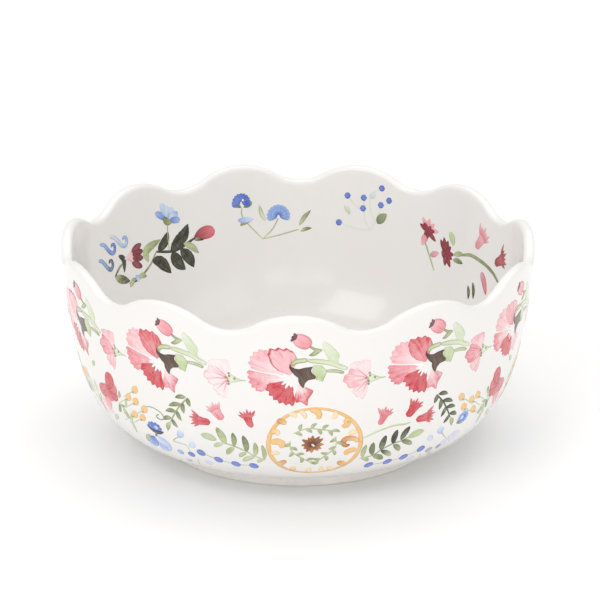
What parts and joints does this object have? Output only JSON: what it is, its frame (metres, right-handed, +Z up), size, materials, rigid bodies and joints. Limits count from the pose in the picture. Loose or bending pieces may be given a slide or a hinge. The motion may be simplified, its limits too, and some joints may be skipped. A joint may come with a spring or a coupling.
{
  "type": "serving bowl",
  "caption": "Round porcelain serving bowl with a scalloped rim, a low foot ring and painted floral borders, for salad, fruit or cereal.",
  "frame": {"origin": "centre of the circle that the foot ring stands on, at table height", "axes": "+Z up along the bowl's axis, -Y towards the side whose scallop crest faces the viewer, +X to the right from there"},
  "size_m": [0.1696, 0.1695, 0.0758],
  "materials": {
    "porcelain": "white fired porcelain clay under the glaze, opaque",
    "biscuit": "unglazed fired porcelain, matt, wiped clean of glaze",
    "glaze": "clear glossy glaze over white porcelain, reads as opaque white",
    "carnation_print": "fired ceramic pigment, pink to deep red petals with pale green leaves, glossy",
    "blossom_print": "fired ceramic pigment, pale pink blossom with a green tip, glossy",
    "medallion_print": "fired ceramic pigment, ochre ring with green wreath and brown flower, glossy",
    "bell_print": "fired ceramic pigment, red bell flowers on green sprays, glossy",
    "berry_print": "fired ceramic pigment, blue berries on a thin stalk, glossy",
    "meadow_print": "fired ceramic pigment, dark green fern, blue flower and yellow buds, glossy",
    "peony_print": "fired ceramic pigment, red blossom with pink below, glossy",
    "star_print": "fired ceramic pigment, deep red star flowers on green stems, glossy",
    "cornflower_print": "fired ceramic pigment, pale blue cornflowers with green leaves, glossy",
    "tulip_print": "fired ceramic pigment, dark green sprays with a pink tulip and blue florets, glossy"
  },
  "bodies": {
    "root": {"porcelain_body": "porcelain", "foot_ring": "biscuit", "glaze_coat": "glaze", "base_glaze": "glaze", "carnation_transfer_1": "carnation_print", "carnation_transfer_2": "carnation_print", "carnation_transfer_3": "carnation_print", "carnation_transfer_4": "carnation_print", "carnation_transfer_5": "carnation_print", "carnation_transfer_6": "carnation_print", "carnation_transfer_7": "carnation_print", "carnation_transfer_8": "carnation_print", "carnation_transfer_9": "carnation_print", "carnation_transfer_10": "carnation_print", "carnation_transfer_11": "carnation_print", "blossom_transfer_1": "blossom_print", "blossom_transfer_2": "blossom_print", "blossom_transfer_3": "blossom_print", "blossom_transfer_4": "blossom_print", "blossom_transfer_5": "blossom_print", "blossom_transfer_6": "blossom_print", "blossom_transfer_7": "blossom_print", "blossom_transfer_8": "blossom_print", "blossom_transfer_9": "blossom_print", "blossom_transfer_10": "blossom_print", "blossom_transfer_11": "blossom_print", "medallion_transfer_1": "medallion_print", "medallion_transfer_2": "medallion_print", "medallion_transfer_3": "medallion_print", "bell_transfer_left_1": "bell_print", "bell_transfer_left_2": "bell_print", "bell_transfer_left_3": "bell_print", "bell_transfer_right_1": "bell_print", "bell_transfer_right_2": "bell_print", "bell_transfer_right_3": "bell_print", "berry_transfer_left_1": "berry_print", "berry_transfer_left_2": "berry_print", "berry_transfer_left_3": "berry_print", "berry_transfer_right_1": "berry_print", "berry_transfer_right_2": "berry_print", "berry_transfer_right_3": "berry_print", "meadow_transfer_left_1": "meadow_print", "meadow_transfer_left_2": "meadow_print", "meadow_transfer_left_3": "meadow_print", "meadow_transfer_right_1": "meadow_print", "meadow_transfer_right_2": "meadow_print", "meadow_transfer_right_3": "meadow_print", "peony_transfer_1": "peony_print", "peony_transfer_2": "peony_print", "peony_transfer_3": "peony_print", "inner_bells_1": "bell_print", "inner_bells_2": "bell_print", "inner_stars_1": "star_print", "inner_stars_2": "star_print", "inner_berries_1": "berry_print", "inner_berries_2": "berry_print", "inner_cornflowers_1": "cornflower_print", "inner_cornflowers_2": "cornflower_print", "inner_tulips_1": "tulip_print", "inner_tulips_2": "tulip_print"}
  },
  "joints": []
}
